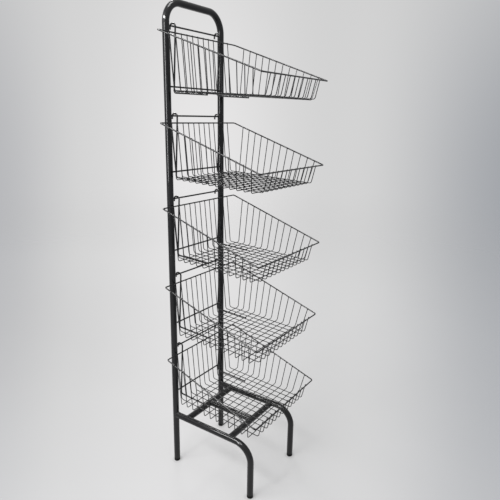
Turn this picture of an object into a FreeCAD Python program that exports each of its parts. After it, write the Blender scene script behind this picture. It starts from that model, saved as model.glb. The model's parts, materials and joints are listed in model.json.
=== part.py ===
import FreeCAD, Part
import math
import os
import Sketcher

# A shop display stand: a frame of bent steel tube with five wire baskets hooked on its rods.
# Millimetres, +Z up, shoppers stand at -Y, origin on the floor under the middle of the stand.

doc = FreeCAD.newDocument("basket_display_stand")

# Driving dimensions, one cell each
SIZES = {
    # Tube of the frame
    "tube_diameter": 25,
    "tube_wall": 1.5,
    "upright_spacing": 305,
    "hoop_rise": 79,
    "hoop_bend_radius": 71.5,
    # Plug joint half way up each upright, just below the middle rest rod
    "joint_drop": 14,
    "joint_gap": 0.5,
    "spigot_length": 120,
    "spigot_wall": 1.5,
    "spigot_fit": 0.2,
    # Base, measured forward from the uprights
    "rail_height": 221,
    "leg_reach": 379,
    "leg_bend_radius": 71.5,
    "rear_cross_reach": 62,
    "front_cross_setback": 29.5,
    # Foot caps
    "cap_height": 12.5,
    "cap_edge_radius": 3,
    "cap_stem_length": 22,
    "cap_fit": 0.15,
    # Rods between the uprights
    "rod_diameter": 6,
    "bottom_rod_rise": 306.5,
    "rod_pitch": 300,
    "rest_rod_rise": 12.5,
    # Hook wires, drops measured down from the hanger rod
    "hook_wire": 6,
    "hook_side_play": 13.5,
    "hook_bend_radius": 10.5,
    "hook_crown_flat": 3.2,
    "hook_tail_drop": 11.5,
    "hook_elbow_radius": 9,
    "hook_arm_reach": 152.5,
    "seat_angle": 36,
    "hang_clearance": 0.3,
    # Rim of the basket
    "rim_wire": 5,
    "rim_width": 432.5,
    "rim_depth": 425,
    "rim_rear_drop": 23.5,
    "rim_front_drop": 147,
    "rim_corner_radius": 7,
    # Grid wires of the basket
    "grid_wire": 3,
    "grid_bend_radius": 9.5,
    "floor_drop": 212.5,
    "floor_side_inset": 25.7,
    "floor_rear_inset": 32.5,
    "floor_front_inset": 17.5,
    "lengthwise_margin": 28,
    "crosswise_rim_rear": 49.5,
    "crosswise_rim_front": 36,
    "crosswise_floor_rear": 25,
    "crosswise_floor_front": 28,
    # Room left for the weld between two pieces
    "weld_gap": 0.1,
}

TIERS = 5
GRID_COUNT = 12

# Places worked out from the driving dimensions.
# The basket's own frame starts at the middle of its hanger rod, and it hangs tilted about that rod.
PLACES = {
    "half_spacing": "Sizes.upright_spacing / 2",
    "tube_bore": "Sizes.tube_diameter - 2 * Sizes.tube_wall",
    "bottom_rod_height": "Sizes.rail_height + Sizes.bottom_rod_rise",
    "top_rod_height": f"bottom_rod_height + {TIERS - 1} * Sizes.rod_pitch",
    "rest_rod_drop": "Sizes.floor_drop - Sizes.rest_rod_rise",
    "middle_rod_height": f"bottom_rod_height + {TIERS // 2} * Sizes.rod_pitch",
    "joint_height": "middle_rod_height - rest_rod_drop - Sizes.joint_drop",
    "hoop_end": "joint_height + Sizes.joint_gap",
    "hoop_height": "top_rod_height + Sizes.hoop_rise",
    "front_cross_reach": "Sizes.leg_reach - Sizes.leg_bend_radius - Sizes.front_cross_setback",
    "cope_diameter": "Sizes.tube_diameter + 2 * Sizes.weld_gap",
    "rod_length": "Sizes.upright_spacing - Sizes.tube_diameter - 2 * Sizes.weld_gap",
    "hook_x": "(rod_length - Sizes.hook_wire) / 2 + Sizes.weld_gap - Sizes.hook_side_play",
    "hook_contact": "(Sizes.hook_wire + Sizes.rod_diameter) / 2 + Sizes.hang_clearance",
    "seat_reach": "Sizes.hook_bend_radius - hook_contact",
    "tail_y": "Sizes.hook_bend_radius - seat_reach * cos(Sizes.seat_angle)",
    "leg_y": "tail_y - 2 * Sizes.hook_bend_radius - Sizes.hook_crown_flat",
    "crown_z": "Sizes.hook_bend_radius - seat_reach * sin(Sizes.seat_angle)",
    "hang_tilt": "asin((-leg_y - hook_contact) / rest_rod_drop)",
    "rim_rear_y": "leg_y - (Sizes.hook_wire + Sizes.rim_wire) / 2 - Sizes.weld_gap",
    "rim_front_y": "rim_rear_y - Sizes.rim_depth",
    "rim_slope": "atan((Sizes.rim_front_drop - Sizes.rim_rear_drop) / Sizes.rim_depth)",
    "rim_run": "Sizes.rim_depth / cos(rim_slope)",
    "floor_width": "Sizes.rim_width - 2 * Sizes.floor_side_inset",
    "floor_rear_y": "rim_rear_y - Sizes.floor_rear_inset",
    "floor_front_y": "rim_front_y + Sizes.floor_front_inset",
    "lengthwise_span": "floor_width - 2 * Sizes.lengthwise_margin",
    "crosswise_rim_span": "Sizes.rim_depth - Sizes.crosswise_rim_rear - Sizes.crosswise_rim_front",
    "crosswise_floor_y": "floor_rear_y - Sizes.crosswise_floor_rear",
    "crosswise_floor_span": "crosswise_floor_y - floor_front_y - Sizes.crosswise_floor_front",
    "lap": "(Sizes.rim_wire + Sizes.grid_wire) / 2 + Sizes.weld_gap",
    "crosswise_z": "-Sizes.floor_drop - Sizes.grid_wire - Sizes.weld_gap",
    "arm_z": "crosswise_z - (Sizes.grid_wire + Sizes.hook_wire) / 2 - Sizes.weld_gap",
    "rim_front_reach": "-rim_front_y * cos(hang_tilt) - Sizes.rim_front_drop * sin(hang_tilt)",
    "upright_y": "(rim_front_reach + (Sizes.rim_wire - Sizes.tube_diameter) / 2) / 2",
}

ZERO = "0"
X_AXIS = FreeCAD.Vector(1, 0, 0)
Y_AXIS = FreeCAD.Vector(0, 1, 0)
Z_AXIS = FreeCAD.Vector(0, 0, 1)


def make_sheet(name, cells):
    sheet = doc.addObject("Spreadsheet::Sheet", name)
    for row, (alias, content) in enumerate(cells.items(), start=1):
        sheet.set(f"A{row}", alias)
        sheet.set(f"B{row}", content)
        sheet.setAlias(f"B{row}", alias)
    doc.recompute()
    return sheet


sizes = make_sheet("Sizes", {alias: str(size) for alias, size in SIZES.items()})
make_sheet("Places", {alias: f"={formula}" for alias, formula in PLACES.items()})


def number(expression):
    """The present value of an expression on the two sheets."""
    value = sizes.evalExpression(expression)
    return float(getattr(value, "Value", value))


def bind(thing, **expressions):
    """Bind properties to expressions; two underscores in a keyword stand for a dot."""
    for path, expression in expressions.items():
        thing.setExpression(path.replace("__", "."), expression)


def turn(thing, axis, angle):
    """Turn an object about an axis by an angle that stays bound to the sheets."""
    thing.Placement = FreeCAD.Placement(FreeCAD.Vector(), FreeCAD.Rotation(axis, number(angle)))
    bind(thing, Placement__Rotation__Angle=angle)


def make_body(name):
    body = doc.addObject("PartDesign::Body", name)
    body.AllowCompound = True
    return body


def origin_feature(body, role):
    return next(feature for feature in body.Origin.OriginFeatures if feature.Role == role)


def sketch_on(body, role, name, offset=None):
    """A sketch on one of the body's origin planes, moved along the plane's normal by an expression."""
    sketch = body.newObject("Sketcher::SketchObject", name)
    sketch.AttachmentSupport = [(origin_feature(body, role), "")]
    sketch.MapMode = "FlatFace"
    if offset:
        bind(sketch, AttachmentOffset__Base__z=offset)
    return sketch


def dimension(sketch, kind, *arguments):
    """Add a dimension whose last argument is an expression."""
    *places_on_sketch, expression = arguments
    index = sketch.addConstraint(Sketcher.Constraint(kind, *places_on_sketch, number(expression)))
    sketch.setExpression(f"Constraints[{index}]", expression)


def pin_point(sketch, geometry, point, across, up):
    """Hold a point of the sketch at a place measured from the sketch's origin."""
    for kind, expression, axis in (("DistanceX", across, -2), ("DistanceY", up, -1)):
        if expression == ZERO:
            sketch.addConstraint(Sketcher.Constraint("PointOnObject", geometry, point, axis))
        else:
            dimension(sketch, kind, -1, 1, geometry, point, expression)


def circle(sketch, across, up, diameter):
    centre = FreeCAD.Vector(number(across), number(up), 0)
    geometry = sketch.addGeometry(Part.Circle(centre, Z_AXIS, number(diameter) / 2))
    pin_point(sketch, geometry, 3, across, up)
    dimension(sketch, "Diameter", geometry, diameter)


def tube_section(sketch, across, up, outside="Sizes.tube_diameter", bore="Places.tube_bore"):
    circle(sketch, across, up, outside)
    circle(sketch, across, up, bore)


def outline(sketch, corners, closed=False):
    """Straight runs from corner to corner, with a tangent arc where a corner has a bend radius.

    A corner is (across, up, bend), all expressions, and bend is None at a sharp corner or an end.
    """
    points = [FreeCAD.Vector(number(across), number(up), 0) for across, up, bend in corners]
    leave = list(points)
    arrive = list(points)
    arcs = {}
    for index, (across, up, bend) in enumerate(corners):
        if bend is None:
            continue
        back = (points[index - 1] - points[index]).normalize()
        onward = (points[(index + 1) % len(points)] - points[index]).normalize()
        half_angle = back.getAngle(onward) / 2
        setback = number(bend) / math.tan(half_angle)
        arrive[index] = points[index] + back * setback
        leave[index] = points[index] + onward * setback
        inward = (back + onward).normalize()
        centre = points[index] + inward * (number(bend) / math.sin(half_angle))
        left_turn = back.cross(onward).z < 0
        first, last = (arrive[index], leave[index]) if left_turn else (leave[index], arrive[index])
        start_angle = math.atan2(first.y - centre.y, first.x - centre.x)
        sweep = math.pi - 2 * half_angle
        base = Part.Circle(centre, Z_AXIS, number(bend))
        arc = sketch.addGeometry(Part.ArcOfCircle(base, start_angle, start_angle + sweep))
        arcs[index] = (arc, 1 if left_turn else 2)
    run_count = len(points) if closed else len(points) - 1
    runs = []
    for index in range(run_count):
        follower = (index + 1) % len(points)
        runs.append(sketch.addGeometry(Part.LineSegment(leave[index], arrive[follower])))
    for index, (across, up, bend) in enumerate(corners):
        if not closed and index == run_count:
            pin_point(sketch, runs[-1], 2, across, up)
            continue
        if not closed and index == 0:
            pin_point(sketch, runs[0], 1, across, up)
            continue
        if bend is None:
            sketch.addConstraint(Sketcher.Constraint("Coincident", runs[index - 1], 2, runs[index], 1))
            pin_point(sketch, runs[index], 1, across, up)
            continue
        arc, arrival_end = arcs[index]
        sketch.addConstraint(Sketcher.Constraint("Tangent", runs[index - 1], 2, arc, arrival_end))
        sketch.addConstraint(Sketcher.Constraint("Tangent", runs[index], 1, arc, 3 - arrival_end))
        dimension(sketch, "Radius", arc, bend)
        corner = sketch.addGeometry(Part.Point(points[index]), True)
        sketch.addConstraint(Sketcher.Constraint("PointOnObject", corner, 1, runs[index - 1]))
        sketch.addConstraint(Sketcher.Constraint("PointOnObject", corner, 1, runs[index]))
        pin_point(sketch, corner, 1, across, up)


def pipe(body, profile, path):
    feature = body.newObject("PartDesign::AdditivePipe", f"{body.Name}_pipe")
    feature.Profile = profile
    feature.Spine = path
    return feature


def pad(body, profile, length, symmetric=False):
    feature = body.newObject("PartDesign::Pad", f"{body.Name}_pad")
    feature.Profile = profile
    feature.Midplane = symmetric
    bind(feature, Length=length)
    return feature


def cope(body, role, centres):
    """Saddle cuts, right through along the plane's normal, where the tube meets round tubes."""
    sketch = sketch_on(body, role, f"{body.Name}_cope_sketch")
    for across, up in centres:
        circle(sketch, across, up, "Places.cope_diameter")
    feature = body.newObject("PartDesign::Pocket", f"{body.Name}_cope")
    feature.Profile = sketch
    feature.Type = "ThroughAll"
    feature.Midplane = True
    return feature


def stand_on_uprights(thing, across=ZERO):
    """Frame pieces are drawn about the plane of the uprights and then moved back to it."""
    bind(thing, Placement__Base__x=across, Placement__Base__y="Places.upright_y")


nodes = {}

SIDES = {"left": "-Places.half_spacing", "right": "Places.half_spacing"}

# Top hoop: one bent tube, the upper part of both uprights and the top bar
hoop = make_body("top_hoop")
hoop_path = sketch_on(hoop, "XZ_Plane", "hoop_path")
outline(hoop_path, [
    ("-Places.half_spacing", "Places.hoop_end", None),
    ("-Places.half_spacing", "Places.hoop_height", "Sizes.hoop_bend_radius"),
    ("Places.half_spacing", "Places.hoop_height", "Sizes.hoop_bend_radius"),
    ("Places.half_spacing", "Places.hoop_end", None),
])
hoop_section = sketch_on(hoop, "YZ_Plane", "hoop_section")
tube_section(hoop_section, ZERO, "Places.hoop_height")
pipe(hoop, hoop_section, hoop_path)
stand_on_uprights(hoop)
nodes["top_hoop"] = hoop

for side, across in SIDES.items():
    # Lower upright: straight tube from its foot cap to the plug joint
    upright = make_body(f"lower_upright_{side}")
    section = sketch_on(upright, "XY_Plane", f"upright_section_{side}", "Sizes.cap_height")
    tube_section(section, ZERO, ZERO)
    pad(upright, section, "Places.joint_height - Sizes.cap_height")
    stand_on_uprights(upright, across)
    nodes[f"lower_upright_{side}"] = upright

    # Joint spigot: a short sleeve inside both tubes of the upright
    spigot = make_body(f"joint_spigot_{side}")
    section = sketch_on(spigot, "XY_Plane", f"spigot_section_{side}", "Places.joint_height")
    spigot_outside = "Places.tube_bore - 2 * Sizes.spigot_fit"
    tube_section(section, ZERO, ZERO, spigot_outside, f"{spigot_outside} - 2 * Sizes.spigot_wall")
    pad(spigot, section, "Sizes.spigot_length", symmetric=True)
    stand_on_uprights(spigot, across)
    nodes[f"joint_spigot_{side}"] = spigot

    # Base leg: rail from the upright forward, then a bend down to the front foot
    leg = make_body(f"base_leg_{side}")
    leg_path = sketch_on(leg, "YZ_Plane", f"leg_path_{side}")
    outline(leg_path, [
        (ZERO, "Sizes.rail_height", None),
        ("-Sizes.leg_reach", "Sizes.rail_height", "Sizes.leg_bend_radius"),
        ("-Sizes.leg_reach", "Sizes.cap_height", None),
    ])
    leg_section = sketch_on(leg, "XZ_Plane", f"leg_section_{side}")
    tube_section(leg_section, ZERO, "Sizes.rail_height")
    pipe(leg, leg_section, leg_path)
    cope(leg, "XY_Plane", [(ZERO, ZERO)])
    stand_on_uprights(leg, across)
    nodes[f"base_leg_{side}"] = leg

# Cross tubes: saddle cut at both ends and welded between the rails of the base legs
for end, reach in (("rear", "Sizes.rear_cross_reach"), ("front", "Places.front_cross_reach")):
    cross = make_body(f"{end}_cross_tube")
    section = sketch_on(cross, "YZ_Plane", f"{end}_cross_section")
    tube_section(section, f"-{reach}", "Sizes.rail_height")
    pad(cross, section, "Sizes.upright_spacing", symmetric=True)
    cope(cross, "XZ_Plane", [(across, "Sizes.rail_height") for across in SIDES.values()])
    stand_on_uprights(cross)
    nodes[f"{end}_cross_tube"] = cross

# Centre rail: saddle cut between the two cross tubes
rail = make_body("centre_rail")
rail_section = sketch_on(rail, "XZ_Plane", "rail_section", "Sizes.rear_cross_reach")
tube_section(rail_section, ZERO, "Sizes.rail_height")
pad(rail, rail_section, "Places.front_cross_reach - Sizes.rear_cross_reach")
cope(rail, "YZ_Plane", [
    ("-Sizes.rear_cross_reach", "Sizes.rail_height"),
    ("-Places.front_cross_reach", "Sizes.rail_height"),
])
stand_on_uprights(rail)
nodes["centre_rail"] = rail

# Rods between the uprights: a hanger rod for the hooks and a rest rod lower down, for each basket
for tier in range(1, TIERS + 1):
    hanger_height = f"Places.top_rod_height - {tier - 1} * Sizes.rod_pitch"
    rest_height = f"{hanger_height} - Places.rest_rod_drop"
    for name, height in (("hanger_rod", hanger_height), ("rest_rod", rest_height)):
        rod = doc.addObject("Part::Cylinder", f"{name}_{tier}")
        bind(rod, Radius="Sizes.rod_diameter / 2", Height="Places.rod_length", Placement__Base__z=height)
        rod.Placement.Rotation = FreeCAD.Rotation(Y_AXIS, 90)
        stand_on_uprights(rod, "-Places.rod_length / 2")
        nodes[f"{name}_{tier}"] = rod

# Foot caps: a round-edged plastic plug whose stem goes up into the tube
CAP_SPOTS = {"rear": "Places.upright_y", "front": "Places.upright_y - Sizes.leg_reach"}
for end, depth in CAP_SPOTS.items():
    for side, across in SIDES.items():
        cap = make_body(f"foot_cap_{end}_{side}")
        half_section = sketch_on(cap, "XZ_Plane", f"cap_section_{end}_{side}")
        stem_radius = "Places.tube_bore / 2 - Sizes.cap_fit"
        stem_top = "Sizes.cap_height + Sizes.cap_stem_length"
        outline(half_section, [
            (ZERO, ZERO, None),
            ("Sizes.tube_diameter / 2", ZERO, "Sizes.cap_edge_radius"),
            ("Sizes.tube_diameter / 2", "Sizes.cap_height", None),
            (stem_radius, "Sizes.cap_height", None),
            (stem_radius, stem_top, None),
            (ZERO, stem_top, None),
        ], closed=True)
        revolve = cap.newObject("PartDesign::Revolution", f"{cap.Name}_revolve")
        revolve.Profile = half_section
        revolve.ReferenceAxis = (half_section, ["V_Axis"])
        revolve.Angle = 360
        bind(cap, Placement__Base__x=across, Placement__Base__y=depth)
        nodes[f"foot_cap_{end}_{side}"] = cap

# Rim of a basket: one closed loop of wire, drawn flat and then sloped down to the front
rim = make_body("rim")
rim_path = sketch_on(rim, "XY_Plane", "rim_path")
outline(rim_path, [
    ("-Sizes.rim_width / 2", ZERO, "Sizes.rim_corner_radius"),
    ("-Sizes.rim_width / 2", "-Places.rim_run", "Sizes.rim_corner_radius"),
    ("Sizes.rim_width / 2", "-Places.rim_run", "Sizes.rim_corner_radius"),
    ("Sizes.rim_width / 2", ZERO, "Sizes.rim_corner_radius"),
], closed=True)
rim_section = sketch_on(rim, "YZ_Plane", "rim_section")
circle(rim_section, ZERO, ZERO, "Sizes.rim_wire")
pipe(rim, rim_section, rim_path)
turn(rim, X_AXIS, "Places.rim_slope")
bind(rim, Placement__Base__y="Places.rim_rear_y", Placement__Base__z="-Sizes.rim_rear_drop")

# Hook wires: tail behind the rod, over its top, down the back of the basket, then an arm under the floor
hooks = {}
for side, across in (("left", "-Places.hook_x"), ("right", "Places.hook_x")):
    hook = make_body(f"hook_{side}")
    hook_path = sketch_on(hook, "YZ_Plane", f"hook_path_{side}")
    outline(hook_path, [
        ("Places.tail_y", "-Sizes.hook_tail_drop", None),
        ("Places.tail_y", "Places.crown_z", "Sizes.hook_bend_radius"),
        ("Places.leg_y", "Places.crown_z", "Sizes.hook_bend_radius"),
        ("Places.leg_y", "Places.arm_z", "Sizes.hook_elbow_radius"),
        ("Places.leg_y - Sizes.hook_arm_reach", "Places.arm_z", None),
    ])
    hook_section = sketch_on(hook, "XY_Plane", f"hook_section_{side}", "-Sizes.hook_tail_drop")
    circle(hook_section, ZERO, "Places.tail_y", "Sizes.hook_wire")
    pipe(hook, hook_section, hook_path)
    bind(hook, Placement__Base__x=across)
    hooks[side] = hook

# Lengthwise wires: back, floor and front in one bent wire, repeated across the basket
lengthwise = make_body("lengthwise_wires")
lengthwise_path = sketch_on(lengthwise, "YZ_Plane", "lengthwise_path")
outline(lengthwise_path, [
    ("Places.rim_rear_y - Places.lap", "Sizes.rim_wire / 2 - Sizes.rim_rear_drop", None),
    ("Places.floor_rear_y", "-Sizes.floor_drop", "Sizes.grid_bend_radius"),
    ("Places.floor_front_y", "-Sizes.floor_drop", "Sizes.grid_bend_radius"),
    ("Places.rim_front_y + Places.lap", "Sizes.rim_wire / 2 - Sizes.rim_front_drop", None),
])
middle_of_floor = "-(Places.floor_rear_y + Places.floor_front_y) / 2"
lengthwise_section = sketch_on(lengthwise, "XZ_Plane", "lengthwise_section", middle_of_floor)
circle(lengthwise_section, ZERO, "-Sizes.floor_drop", "Sizes.grid_wire")
one_wire = pipe(lengthwise, lengthwise_section, lengthwise_path)
doc.recompute()
wire_row = lengthwise.newObject("PartDesign::LinearPattern", "lengthwise_row")
wire_row.Originals = [one_wire]
wire_row.Direction = (origin_feature(lengthwise, "X_Axis"), [""])
wire_row.Occurrences = GRID_COUNT
bind(wire_row, Length="Places.lengthwise_span")
lengthwise.Tip = wire_row
bind(lengthwise, Placement__Base__x="-Places.lengthwise_span / 2")

# Crosswise wires: side, floor and side, each one cut to the height of the sloping rim and leaning a little,
# because the rim is longer than the floor
crosswise = []
for index in range(GRID_COUNT):
    step = f"{index} / {GRID_COUNT - 1}"
    floor_y = f"(Places.crosswise_floor_y - {step} * Places.crosswise_floor_span)"
    rim_distance = f"(Sizes.crosswise_rim_rear + {step} * Places.crosswise_rim_span)"
    rim_z = f"(Sizes.rim_wire / 2 - Sizes.rim_rear_drop - {rim_distance} * tan(Places.rim_slope))"
    rise = f"({rim_z} - Places.crosswise_z)"
    lean = f"(Places.rim_rear_y - {rim_distance} - {floor_y})"
    wire = make_body(f"crosswise_wire_{index + 1}")
    wire_path = sketch_on(wire, "XZ_Plane", f"crosswise_path_{index + 1}")
    side_length = f"sqrt({rise} ^ 2 + {lean} ^ 2)"
    outline(wire_path, [
        ("Places.lap - Sizes.rim_width / 2", side_length, None),
        ("-Places.floor_width / 2", ZERO, "Sizes.grid_bend_radius"),
        ("Places.floor_width / 2", ZERO, "Sizes.grid_bend_radius"),
        ("Sizes.rim_width / 2 - Places.lap", side_length, None),
    ])
    wire_section = sketch_on(wire, "YZ_Plane", f"crosswise_section_{index + 1}")
    circle(wire_section, ZERO, ZERO, "Sizes.grid_wire")
    pipe(wire, wire_section, wire_path)
    turn(wire, X_AXIS, f"-atan({lean} / {rise})")
    bind(wire, Placement__Base__y=floor_y, Placement__Base__z="Places.crosswise_z")
    crosswise.append(wire)

# Five baskets: the same pieces hung on each hanger rod, leaning back on the rest rod below it
BASKET_PIECES = {
    "rim": [rim],
    "hook_left": [hooks["left"]],
    "hook_right": [hooks["right"]],
    "lengthwise_wires": [lengthwise],
    "crosswise_wires": crosswise,
}
for tier in range(1, TIERS + 1):
    for name, members in BASKET_PIECES.items():
        piece = doc.addObject("Part::Compound", f"basket_{tier}_{name}")
        piece.Links = members
        turn(piece, X_AXIS, "Places.hang_tilt")
        stand_on_uprights(piece)
        bind(piece, Placement__Base__z=f"Places.top_rod_height - {tier - 1} * Sizes.rod_pitch")
        nodes[f"basket_{tier}_{name}"] = piece

doc.recompute()

for thing in doc.Objects:
    if "Invalid" in thing.State or "Error" in thing.State:
        raise RuntimeError(f"{thing.Name} failed: {thing.State}")
for label, node in nodes.items():
    node.Label = label
    if node.Shape.isNull() or not node.Shape.isValid():
        raise RuntimeError(f"{label} has no valid shape")

os.makedirs("parts", exist_ok=True)
for label, node in nodes.items():
    node.Shape.exportStep(f"parts/{label}.step")
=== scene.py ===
import json
import math

import bmesh
import bpy
from mathutils import Matrix, Quaternion, Vector


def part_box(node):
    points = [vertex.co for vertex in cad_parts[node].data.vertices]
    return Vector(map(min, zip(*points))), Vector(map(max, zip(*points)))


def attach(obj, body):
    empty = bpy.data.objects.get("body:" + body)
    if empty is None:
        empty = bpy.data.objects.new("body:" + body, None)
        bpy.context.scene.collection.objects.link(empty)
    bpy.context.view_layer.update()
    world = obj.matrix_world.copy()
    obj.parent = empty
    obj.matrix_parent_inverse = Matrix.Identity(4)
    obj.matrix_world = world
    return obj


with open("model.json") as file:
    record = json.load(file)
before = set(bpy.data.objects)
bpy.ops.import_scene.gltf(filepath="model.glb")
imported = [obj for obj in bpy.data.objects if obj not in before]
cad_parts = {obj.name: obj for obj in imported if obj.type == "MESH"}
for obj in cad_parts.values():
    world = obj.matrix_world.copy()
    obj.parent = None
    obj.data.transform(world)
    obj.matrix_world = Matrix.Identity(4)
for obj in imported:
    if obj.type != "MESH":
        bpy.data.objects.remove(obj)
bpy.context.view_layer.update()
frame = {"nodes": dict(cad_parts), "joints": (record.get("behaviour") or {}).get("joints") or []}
cad = frame["nodes"]

# Frame tubes: the top hoop, the two lower uprights, the bent base legs and the rails between them.
# Steel tube of 25 mm, bent cold, welded, then powder coated gloss black.
# The coat has a fine orange peel, is a little duller where it is thin, and holds dust on top.


class Shade:
    """A socket of a node tree that takes part in Python sums, each of which adds a Math node."""

    def __init__(self, tree, socket=None):
        self.tree = tree
        self.socket = socket

    def node(self, kind, settings, inputs, output=0):
        """Any node of that kind: settings first, then the values or links of its sockets."""
        made = self.tree.nodes.new(kind)
        for name, value in settings.items():
            setattr(made, name, value)
        for key, value in inputs.items():
            if isinstance(value, Shade):
                self.tree.links.new(value.socket, made.inputs[key])
            else:
                made.inputs[key].default_value = value
        return Shade(self.tree, made.outputs[output])

    def maths(self, operation, first, second=0.0):
        return self.node("ShaderNodeMath", {"operation": operation}, {0: first, 1: second})

    def __add__(self, other):
        return self.maths("ADD", self, other)

    def __radd__(self, other):
        return self.maths("ADD", other, self)

    def __sub__(self, other):
        return self.maths("SUBTRACT", self, other)

    def __rsub__(self, other):
        return self.maths("SUBTRACT", other, self)

    def __mul__(self, other):
        return self.maths("MULTIPLY", self, other)

    def __rmul__(self, other):
        return self.maths("MULTIPLY", other, self)

    def __truediv__(self, other):
        return self.maths("DIVIDE", self, other)

    def __rtruediv__(self, other):
        return self.maths("DIVIDE", other, self)

    def __abs__(self):
        return self.maths("ABSOLUTE", self)

    def band(self, low, high):
        """0 at low, 1 at high, and smooth between them."""
        return self.node("ShaderNodeMapRange", {"interpolation_type": "SMOOTHSTEP"},
                         {"Value": self, "From Min": low, "From Max": high})

    def noise(self, scale, detail=2.0):
        """Cloudy noise over the places that this socket gives, scale features to a metre."""
        return self.node("ShaderNodeTexNoise", {}, {"Vector": self, "Scale": scale, "Detail": detail})

    def axis(self, name):
        """One axis of the vector that this socket gives."""
        return self.node("ShaderNodeSeparateXYZ", {}, {0: self}, name)

    def tint(self, colour_at_0, colour_at_1):
        """A colour, or a colour socket, mixed by this share."""
        return self.node("ShaderNodeMix", {"data_type": "RGBA"},
                         {0: self, 6: colour_at_0, 7: colour_at_1}, 2)

    def dot(self, direction):
        """How far the place, or the gaze, that this socket gives goes along a direction."""
        return self.node("ShaderNodeVectorMath", {"operation": "DOT_PRODUCT"},
                         {0: self, 1: direction}, "Value")

    def distance(self, centre):
        """How far the place that this socket gives is from a centre."""
        return self.node("ShaderNodeVectorMath", {"operation": "DISTANCE"},
                         {0: self, 1: centre}, "Value")


class Finish:
    """A new material, its shader and the place on the object that its patterns follow."""

    def __init__(self, name):
        self.material = bpy.data.materials.new(name)
        self.material.use_nodes = True
        self.tree = self.material.node_tree
        self.shader = self.tree.nodes["Principled BSDF"]
        self.place = Shade(self.tree).node("ShaderNodeTexCoord", {}, {}, "Object")
        self.facing_up = Shade(self.tree).node("ShaderNodeNewGeometry", {}, {}, "Normal").axis("Z")

    def feed(self, **sockets):
        """Set or link the shader's sockets, named with underscores for their spaces."""
        for name, value in sockets.items():
            socket = self.shader.inputs[name.replace("_", " ")]
            if isinstance(value, Shade):
                self.tree.links.new(value.socket, socket)
            else:
                socket.default_value = value

    def relief(self, height, depth):
        """Bumps of a depth in metres, where height goes from 0 to 1."""
        bump = self.place.node("ShaderNodeBump", {}, {"Strength": 1.0, "Distance": depth, "Height": height})
        self.feed(Normal=bump)


THINNING_SCALE = 9.0
SPECK_SCALE = 70.0
DUST_COLOUR = (0.11, 0.11, 0.105, 1)
DUST_DULLNESS = 0.1
THIN_DULLNESS = 0.05
PIGMENT_GLOSS = 0.1
SKIN_ROUGHNESS = 0.05


def coat(name, thick, thin, dust, rough, shine, peel_scale, peel_depth):
    """A sprayed coat on steel: thick and thin shades of its colour, a glossy skin, dust and orange peel."""
    finish = Finish(name)
    thinning = finish.place.noise(THINNING_SCALE, detail=4.0).band(low=0.35, high=0.7)
    specks = finish.place.noise(SPECK_SCALE, detail=5.0).band(low=0.4, high=0.75)
    settled = finish.facing_up.band(low=0.3, high=0.98) * specks
    finish.feed(Base_Color=(settled * dust).tint(thinning.tint(thick, thin), DUST_COLOUR),
                Roughness=rough + thinning * THIN_DULLNESS + settled * DUST_DULLNESS,
                Specular_IOR_Level=PIGMENT_GLOSS,
                Coat_Weight=shine - settled * DUST_DULLNESS, Coat_Roughness=SKIN_ROUGHNESS)
    finish.relief(finish.place.noise(scale=peel_scale), peel_depth)
    return finish


def dress(finish, *names):
    """Give CAD nodes a finish."""
    for name in names:
        for slot in cad[name].material_slots:
            slot.material = finish.material


tube_coat = coat("gloss_black_tube_coat", thick=(0.0035, 0.0035, 0.004, 1), thin=(0.0055, 0.0055, 0.006, 1),
                 dust=0.05, rough=0.3, shine=0.6, peel_scale=260.0, peel_depth=0.000015)
dress(tube_coat, "top_hoop", "lower_upright_left", "lower_upright_right", "base_leg_left",
      "base_leg_right", "rear_cross_tube", "front_cross_tube", "centre_rail")

# Welds of the base: a bead of weld metal round each saddle-cut tube end, under the same black coat.
# The legs are welded to the uprights, the cross tubes to the legs, the centre rail to the cross tubes.
# Each pass of the torch leaves a ripple, so the bead is a row of overlapping scales.
BASE_BEAD = 0.0021
BASE_RIPPLES = 44
RIPPLE_SHARE = 0.13
BEAD_HEIGHT_SHARE = 0.62
STEPS_PER_RIPPLE = 5
BEAD_SIDES = 8


def saddle_bead(mesh, meeting, run, host, run_radius, host_radius, bead, ripples):
    """A closed bead where a round piece, going along run, butts on a round host; meeting is on both axes."""
    side = run.cross(host)
    steps = ripples * STEPS_PER_RIPPLE
    rings = []
    for step in range(steps):
        angle = math.tau * step / steps
        outward = host * math.cos(angle) + side * math.sin(angle)
        across = run_radius * math.sin(angle)
        stand = math.sqrt(max(host_radius ** 2 - across ** 2, 0.0))
        seam = meeting + outward * run_radius + run * stand
        along = (side * math.cos(angle) - host * math.sin(angle)).normalized()
        away = (outward + (side * across + run * stand) / host_radius).normalized()
        flank = along.cross(away).normalized()
        size = bead * (1 + RIPPLE_SHARE * math.sin(ripples * angle))
        ring = []
        for corner in range(BEAD_SIDES):
            turn = math.tau * corner / BEAD_SIDES
            offset = away * (BEAD_HEIGHT_SHARE * size * math.cos(turn)) + flank * (size * math.sin(turn))
            ring.append(mesh.verts.new(seam + offset))
        rings.append(ring)
    for step in range(steps):
        here, onward = rings[step], rings[(step + 1) % steps]
        for corner in range(BEAD_SIDES):
            after = (corner + 1) % BEAD_SIDES
            mesh.faces.new((here[corner], here[after], onward[after], onward[corner]))


def make_piece(name, mesh, finish, body):
    """A mesh as a smooth piece that rides on a body."""
    bmesh.ops.recalc_face_normals(mesh, faces=mesh.faces)
    data = bpy.data.meshes.new(name)
    mesh.to_mesh(data)
    mesh.free()
    data.polygons.foreach_set("use_smooth", [True] * len(data.polygons))
    data.materials.append(finish.material)
    piece = bpy.data.objects.new(name, data)
    bpy.context.scene.collection.objects.link(piece)
    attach(piece, body)


def middle(node):
    """The middle of a node's box."""
    low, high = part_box(node)
    return (low + high) / 2


def half_size(node):
    """Half of a node's size along each axis."""
    low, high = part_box(node)
    return (high - low) / 2


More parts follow.
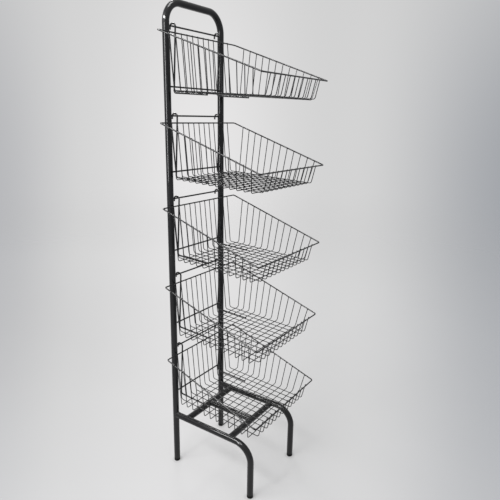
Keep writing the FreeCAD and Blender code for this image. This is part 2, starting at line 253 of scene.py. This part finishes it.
RIGHT = Vector((1, 0, 0))
FRONT = Vector((0, -1, 0))
UP = Vector((0, 0, 1))


def inward_from(upright):
    """The way from one upright to the other."""
    return RIGHT if upright.x < 0 else -RIGHT


tube_radius = half_size("lower_upright_left").x
left_upright, right_upright = middle("lower_upright_left"), middle("lower_upright_right")
rail_height = middle("centre_rail").z
rear_cross, front_cross = middle("rear_cross_tube"), middle("front_cross_tube")

weld_coat = coat("black_weld_coat", thick=(0.011, 0.011, 0.012, 1), thin=(0.018, 0.018, 0.019, 1),
                 dust=0.08, rough=0.32, shine=0.45, peel_scale=700.0, peel_depth=0.00004)
base_beads = bmesh.new()
for upright in (left_upright, right_upright):
    corner = Vector((upright.x, upright.y, rail_height))
    saddle_bead(base_beads, corner, FRONT, UP, tube_radius, tube_radius, BASE_BEAD, BASE_RIPPLES)
    for cross in (rear_cross, front_cross):
        meeting = Vector((upright.x, cross.y, rail_height))
        saddle_bead(base_beads, meeting, inward_from(upright), FRONT, tube_radius, tube_radius,
                    BASE_BEAD, BASE_RIPPLES)
for cross, run in ((rear_cross, FRONT), (front_cross, -FRONT)):
    meeting = Vector((0, cross.y, rail_height))
    saddle_bead(base_beads, meeting, run, RIGHT, tube_radius, tube_radius, BASE_BEAD, BASE_RIPPLES)
make_piece("base_weld_beads", base_beads, weld_coat, "frame")

# Joint spigots: a short steel sleeve inside each upright, half in the hoop and half in the lower tube.
# Bare drawn steel, so it is brushed along its length and shows only as a line in the seam.
DRAW_LINE_SCALES = (900.0, 900.0, 12.0)
DRAW_LINE_DEPTH = 0.00003
STEEL_DARK, STEEL_PALE = (0.30, 0.30, 0.29, 1), (0.50, 0.50, 0.49, 1)
spigot_steel = Finish("drawn_spigot_steel")
stretched = spigot_steel.place.node("ShaderNodeVectorMath", {"operation": "MULTIPLY"},
                                    {0: spigot_steel.place, 1: DRAW_LINE_SCALES})
draw_lines = stretched.noise(scale=1.0, detail=3.0)
spigot_steel.feed(Base_Color=draw_lines.tint(STEEL_DARK, STEEL_PALE),
                  Roughness=0.3 + draw_lines * 0.25, Metallic=1.0)
spigot_steel.relief(draw_lines, DRAW_LINE_DEPTH)
dress(spigot_steel, "joint_spigot_left", "joint_spigot_right")

# Foot caps: moulded plastic plugs pushed into the four tube ends, round at the edge.
# Black polyethylene with a fine moulded grain, scuffed grey where it slides on the floor.
GRAIN_SCALE, GRAIN_DEPTH = 1500.0, 0.00007
GRAIN_DARK, GRAIN_PALE = (0.002, 0.002, 0.002, 1), (0.004, 0.004, 0.004, 1)
SCRATCH_SCALE = 240.0
SCUFF_START, SCUFF_END = 0.0003, 0.0015
SCUFF_GREY = (0.05, 0.049, 0.047, 1)
cap_plastic = Finish("black_cap_plastic")
grain = cap_plastic.place.noise(GRAIN_SCALE)
scratches = cap_plastic.place.noise(SCRATCH_SCALE, detail=4.0).band(low=0.4, high=0.65)
scuff = (1 - cap_plastic.place.axis("Z").band(SCUFF_START, SCUFF_END)) * scratches
cap_plastic.feed(Base_Color=(scuff * 0.5).tint(grain.tint(GRAIN_DARK, GRAIN_PALE), SCUFF_GREY),
                 Roughness=0.46 + grain * 0.14 + scuff * 0.15, Specular_IOR_Level=0.12)
cap_plastic.relief(grain, GRAIN_DEPTH)
dress(cap_plastic, "foot_cap_rear_left", "foot_cap_rear_right",
      "foot_cap_front_left", "foot_cap_front_right")

# Rods between the uprights: hanger rods for the hooks, rest rods that the hook legs lean on.
# Drawn steel of 6 mm in the frame's black coat, with a small weld round each end.
# Where the hooks ride, the coat is rubbed through to the steel in a few spots.
TIERS = range(1, 6)
ROD_BEAD = 0.0013
ROD_RIPPLES = 7
BARE_STEEL = (0.33, 0.32, 0.31, 1)
BARE_SPOT_SCALE = 700.0
RUB_SHARE, RUB_END_SHARE = 0.7, 1.8
rod_radius = half_size("hanger_rod_1").z
hook_radius = half_size("basket_1_hook_right").x
hook_x = middle("basket_1_hook_right").x


def rub_through(finish, rubbed):
    """Wear a coat down to bare steel in small spots, where rubbed is 1."""
    coated = Shade(finish.tree, finish.shader.inputs["Base Color"].links[0].from_socket)
    bare = rubbed * finish.place.noise(BARE_SPOT_SCALE, detail=4.0).band(low=0.42, high=0.62)
    finish.feed(Base_Color=bare.tint(coated, BARE_STEEL), Metallic=bare)


rods = [f"{kind}_rod_{tier}" for tier in TIERS for kind in ("hanger", "rest")]
rod_coat = coat("black_rod_coat", thick=(0.009, 0.009, 0.0095, 1), thin=(0.013, 0.013, 0.014, 1),
                dust=0.05, rough=0.32, shine=0.45, peel_scale=420.0, peel_depth=0.000015)
off_hook = abs(abs(rod_coat.place.axis("X")) - hook_x)
under_hook = 1 - off_hook.band(hook_radius * RUB_SHARE, hook_radius * RUB_END_SHARE)
rub_through(rod_coat, under_hook * rod_coat.facing_up.band(low=0.3, high=0.9))
dress(rod_coat, *rods)

rod_beads = bmesh.new()
for rod in rods:
    for upright in (left_upright, right_upright):
        meeting = Vector((upright.x, upright.y, middle(rod).z))
        saddle_bead(rod_beads, meeting, inward_from(upright), UP, rod_radius, tube_radius,
                    ROD_BEAD, ROD_RIPPLES)
make_piece("rod_weld_beads", rod_beads, weld_coat, "frame")

# Basket rims and hooks: the rim is one loop of 5 mm wire, the hooks are two bent 6 mm wires behind it.
# Each hook goes over a hanger rod, down the back and forward under the floor as an arm.
# Satin black coat, rubbed a little under the crown of the hook.
WIRE_SHADES = {"thick": (0.004, 0.004, 0.0045, 1), "thin": (0.0075, 0.0075, 0.008, 1)}
wire_coat = coat("satin_black_wire_coat", **WIRE_SHADES, dust=0.04, rough=0.36, shine=0.6,
                 peel_scale=520.0, peel_depth=0.000012)
off_rod = abs(wire_coat.place.axis("Y") - left_upright.y)
over_rod = 1 - off_rod.band(rod_radius, rod_radius * 3)
rub_through(wire_coat, over_rod * (0 - wire_coat.facing_up).band(low=0.2, high=0.8))
for tier in TIERS:
    dress(wire_coat, f"basket_{tier}_rim", f"basket_{tier}_hook_left", f"basket_{tier}_hook_right")

# Basket grid: twelve lengthwise and twelve crosswise wires of 3 mm, bent into U shapes.
# The lengthwise ones lie on the crosswise ones, welded at every crossing and coated with the rim.
# The coat is thinner on so small a wire, so its peel is finer and its shine is lower.
grid_coat = coat("satin_black_grid_coat", **WIRE_SHADES, dust=0.04, rough=0.36, shine=0.4,
                 peel_scale=800.0, peel_depth=0.00001)
for tier in TIERS:
    dress(grid_coat, f"basket_{tier}_lengthwise_wires", f"basket_{tier}_crosswise_wires")

# Spot welds of a basket: a flat button of weld metal and coat at each place where two wires touch.
# The floor has one at each crossing, the rim one at each wire end, the hooks one at each wire they carry.
# The rim's loop is closed by a butt weld at the middle of the back.
RIM_RADIUS = 0.0025
GRID_RADIUS = 0.0015
WELD_GAP = 0.0001
WIRE_COUNT = 12
GRID_BUTTON = (0.0024, 0.0024, 0.0009)
RIM_BUTTON = (0.0028, 0.0028, 0.0011)
HOOK_BUTTON = (0.0034, 0.0034, 0.0013)
BUTT_WELD = (0.00305, 0.00305, 0.0011)


def hanging(tier):
    """From a basket's own level frame, which starts at its hanger rod, to where it hangs along its lift."""
    rod = middle(f"hanger_rod_{tier}")
    lift = next(joint for joint in frame["joints"] if joint["name"] == f"basket_{tier}_lift")
    tilt = UP.rotation_difference(Vector(lift["axis"]))
    return Matrix.Translation((0, rod.y, rod.z)) @ tilt.to_matrix().to_4x4()


def level_box(piece, below=math.inf):
    """Lowest and highest corner of what a basket's piece has below a height, in the level frame."""
    level = hanging(1).inverted()
    corners = [level @ vertex.co for vertex in cad[f"basket_1_{piece}"].data.vertices]
    corners = [corner for corner in corners if corner.z < below]
    return [Vector([end(corner[axis] for corner in corners) for axis in range(3)]) for end in (min, max)]


def spread(first, last):
    """The places of a row of wires, evenly from its first to its last."""
    return [first + (last - first) * step / (WIRE_COUNT - 1) for step in range(WIRE_COUNT)]


def button(mesh, place, facing, size):
    """A flat round button of weld metal; facing is the way its thin side points."""
    turn = facing.to_track_quat("Z", "Y").to_matrix().to_4x4()
    shape = Matrix.Translation(place) @ turn @ Matrix.Diagonal((*size, 1))
    bmesh.ops.create_icosphere(mesh, subdivisions=2, radius=1, matrix=shape)


rim_low, rim_high = level_box("rim")
rim_rear, rim_front = rim_high.y - RIM_RADIUS, rim_low.y + RIM_RADIUS
rim_top, rim_bottom = rim_high.z - RIM_RADIUS, rim_low.z + RIM_RADIUS
rim_side = rim_high.x - RIM_RADIUS
rim_touch = RIM_RADIUS + WELD_GAP / 2
long_low, long_high = level_box("lengthwise_wires")
cross_low, cross_high = level_box("crosswise_wires")
under_floor = cross_low.z - WELD_GAP / 2
in_floor = cross_low.z + 2 * GRID_RADIUS + WELD_GAP / 2
floor_low, floor_high = level_box("crosswise_wires", below=cross_low.z + GRID_RADIUS + WELD_GAP)
arm_end = level_box("hook_left")[0].y
long_xs = spread(long_low.x + GRID_RADIUS, long_high.x - GRID_RADIUS)
cross_floor_ys = spread(floor_high.y - GRID_RADIUS, floor_low.y + GRID_RADIUS)
cross_rim_ys = spread(cross_high.y - GRID_RADIUS, cross_low.y + GRID_RADIUS)

for tier in TIERS:
    buttons = bmesh.new()
    for x in long_xs:
        for y in cross_floor_ys:
            button(buttons, Vector((x, y, in_floor)), UP, GRID_BUTTON)
        button(buttons, Vector((x, rim_rear - rim_touch, rim_top)), FRONT, RIM_BUTTON)
        button(buttons, Vector((x, rim_front + rim_touch, rim_bottom)), FRONT, RIM_BUTTON)
    for y in cross_rim_ys:
        slope_share = (rim_rear - y) / (rim_rear - rim_front)
        z = rim_top + (rim_bottom - rim_top) * slope_share
        for x in (rim_touch - rim_side, rim_side - rim_touch):
            button(buttons, Vector((x, y, z)), RIGHT, RIM_BUTTON)
    for x in (-hook_x, hook_x):
        button(buttons, Vector((x, rim_rear + rim_touch, rim_top)), FRONT, HOOK_BUTTON)
        for y in cross_floor_ys:
            if y > arm_end:
                button(buttons, Vector((x, y, under_floor)), UP, HOOK_BUTTON)
    button(buttons, Vector((0, rim_rear, rim_top)), RIGHT, BUTT_WELD)
    buttons.transform(hanging(tier))
    make_piece(f"basket_{tier}_spot_welds", buttons, grid_coat, f"basket_{tier}")

# Studio: a sweep of pale paper, its floor glowing with painted light like a light table, which fades into a
# pale surround.
# The sweep is brightest along a strip a little left of its middle line, and dimmer to both sides; on the
# floor this is painted light and painted shade.
# Soft boxes above, to the left and behind put the long glints on the black tubes.
SWEEP_ALONG = Vector((0.826, 0.564, 0.0))
SWEEP_ACROSS = SWEEP_ALONG.cross(UP)
PAPER = (0.655, 0.655, 0.656, 1)
PAPER_BRIGHT = (0.806, 0.798, 0.8, 1)
PAPER_SHADED = (0.35, 0.365, 0.392, 1)
SURROUND = (0.47, 0.475, 0.493, 1)
CEILING = (0.62, 0.62, 0.62, 1)
STRIP_OFFSET, STRIP_WIDTH = 0.1, 0.26
LEFT_START, LEFT_END = 0.31, 0.475
RIGHT_START, RIGHT_END = 0.19, 0.5


def sweep(side, ahead):
    """Colour of the sweep, where side is how far off its middle line a place is, for each metre of the
    way there. Where ahead is 0 the sweep has ended, and the surround is left. On the floor this colour is
    painted light, a bright strip with painted shade to both sides; in the surround it is the light itself."""
    strip = 1 - abs(side + STRIP_OFFSET).band(0.0, STRIP_WIDTH)
    left = (0 - side).band(LEFT_START, LEFT_END)
    right = side.band(RIGHT_START, RIGHT_END)
    paper = right.tint(strip.tint(left.tint(PAPER, SURROUND), PAPER_BRIGHT), PAPER_SHADED)
    return ahead.tint(SURROUND, paper)


ORIGIN = (0, 0, 0)
FLOOR_RADIUS = 12.0
FADE_START, FADE_END = 1.2, 9.0
POOL_CENTRE, POOL_RADIUS = (-0.87, 1.22, 0.0), 3.5
POOL_GLOW, FAR_GLOW = 0.5, 0.73
SPREAD_START = 2.35
AHEAD_START, AHEAD_END = -2.0, 0.5
FOOT_SHADE, FOOT_SHADE_RADIUS = 0.2, 0.028
BLACK = (0, 0, 0, 1)
FIBRE_DARK, FIBRE_PALE = (0.14, 0.14, 0.141, 1), (0.153, 0.153, 0.154, 1)
FIBRE_SCALE = 2.0
TOOTH_SCALE, TOOTH_DEPTH = 600.0, 0.00003
floor_paper = Finish("pale_floor_paper")
floor_place = floor_paper.place


def foot_shade(cap):
    """The contact shadow of a cap and of its mirror image: 1 under them, 0 past its radius."""
    foot = middle(cap)
    off_x = abs(floor_place.axis("X")) - abs(foot.x)
    off_y = floor_place.axis("Y") - foot.y
    return 1 - (off_x * off_x + off_y * off_y).band(tube_radius ** 2, FOOT_SHADE_RADIUS ** 2)


fibre = floor_place.noise(FIBRE_SCALE, detail=3.0)
along = floor_place.dot(SWEEP_ALONG)
side = floor_place.dot(SWEEP_ACROSS) / (along + SPREAD_START)
paper_light = sweep(side, along.band(AHEAD_START, AHEAD_END))
shade = foot_shade("foot_cap_rear_left") + foot_shade("foot_cap_front_left")
off_pool = floor_place.distance(POOL_CENTRE)
# Painted shade in the floor's glow: dimmer near the pool centre, brighter past the pool's radius.
glow = POOL_GLOW + off_pool.band(0.0, POOL_RADIUS) * (FAR_GLOW - POOL_GLOW)
# The floor's emission is painted light: the sweep's bright strip and painted side shade, times the pool's
# glow, less painted contact shadows at the feet.
floor_paper.feed(Base_Color=fibre.tint(FIBRE_DARK, FIBRE_PALE), Roughness=0.7 + fibre * 0.1,
                 Emission_Color=(glow * (1 - shade * FOOT_SHADE)).tint(BLACK, paper_light),
                 Emission_Strength=1.0,
                 Alpha=1 - floor_place.distance(ORIGIN).band(FADE_START, FADE_END))
floor_paper.relief(floor_place.noise(TOOTH_SCALE), TOOTH_DEPTH)
floor_mesh = bmesh.new()
bmesh.ops.create_circle(floor_mesh, cap_ends=True, segments=96, radius=FLOOR_RADIUS)
floor_data = bpy.data.meshes.new("floor")
floor_mesh.to_mesh(floor_data)
floor_mesh.free()
floor_data.materials.append(floor_paper.material)
floor = bpy.data.objects.new("floor", floor_data)
bpy.context.scene.collection.objects.link(floor)

WALL_START, WALL_END = 0.3, 0.8
CEILING_START, CEILING_END = -0.1, 0.6
surround = bpy.data.worlds.new("pale_surround")
surround.use_nodes = True
bpy.context.scene.world = surround
bpy.context.scene.view_settings.view_transform = "Standard"
sky = surround.node_tree
gaze = Shade(sky).node("ShaderNodeTexCoord", {}, {}, "Generated")
wall_colour = sweep(gaze.dot(SWEEP_ACROSS), gaze.dot(SWEEP_ALONG).band(WALL_START, WALL_END))
sky_colour = gaze.axis("Z").band(CEILING_START, CEILING_END).tint(wall_colour, CEILING)
sky.links.new(sky_colour.socket, sky.nodes["Background"].inputs["Color"])


def soft_box(name, place, aim, size, watts):
    """A flat soft light at a place, turned towards what it is aimed at."""
    light = bpy.data.lights.new(name, "AREA")
    light.shape = "RECTANGLE"
    light.size, light.size_y = size
    light.energy = watts
    box = bpy.data.objects.new(name, light)
    box.location = place
    box.rotation_mode = "QUATERNION"
    box.rotation_quaternion = (Vector(aim) - Vector(place)).to_track_quat("-Z", "Y")
    bpy.context.scene.collection.objects.link(box)


soft_box("overhead_box", place=(-0.2, -0.1, 3.4), aim=(0, 0, 0), size=(0.9, 0.9), watts=26)
soft_box("left_box", place=(-2.4, 0.4, 1.55), aim=(0, 0.2, 1.2), size=(0.4, 1.3), watts=34)
soft_box("left_strip_box", place=(-1.9, 0.5, 2.7), aim=(-0.15, 0.1, 0.2), size=(2.5, 0.4), watts=120)
soft_box("rear_high_box", place=(1.9, 2.1, 3.4), aim=(0, 0, 0.6), size=(0.7, 0.4), watts=26)

# Camera: the photograph's viewpoint, turn and focal length, fitted to tube ends, rods and rim corners.
# Its place is given from the floor midway between the uprights, its turn from straight in front.
CAMERA_FROM_UPRIGHTS = Vector((-1.49886, -1.28038, 1.42562))
AZIMUTH, ELEVATION, ROLL = math.radians(-55.70), math.radians(14.93), math.radians(0.85)
FOCAL_SHARE = 496.8 / 500
SENSOR = 36.0

lens = bpy.data.cameras.new("camera")
lens.sensor_width = SENSOR
lens.lens = SENSOR * FOCAL_SHARE
camera = bpy.data.objects.new("camera", lens)
level_turn = Vector((math.sin(AZIMUTH), -math.cos(AZIMUTH), 0))
backward = level_turn * math.cos(ELEVATION) + UP * math.sin(ELEVATION)
camera.location = CAMERA_FROM_UPRIGHTS + Vector((0, left_upright.y, 0))
camera.rotation_mode = "QUATERNION"
camera.rotation_quaternion = (-backward).to_track_quat("-Z", "Y") @ Quaternion((0, 0, 1), ROLL)
bpy.context.scene.collection.objects.link(camera)
bpy.context.scene.camera = camera
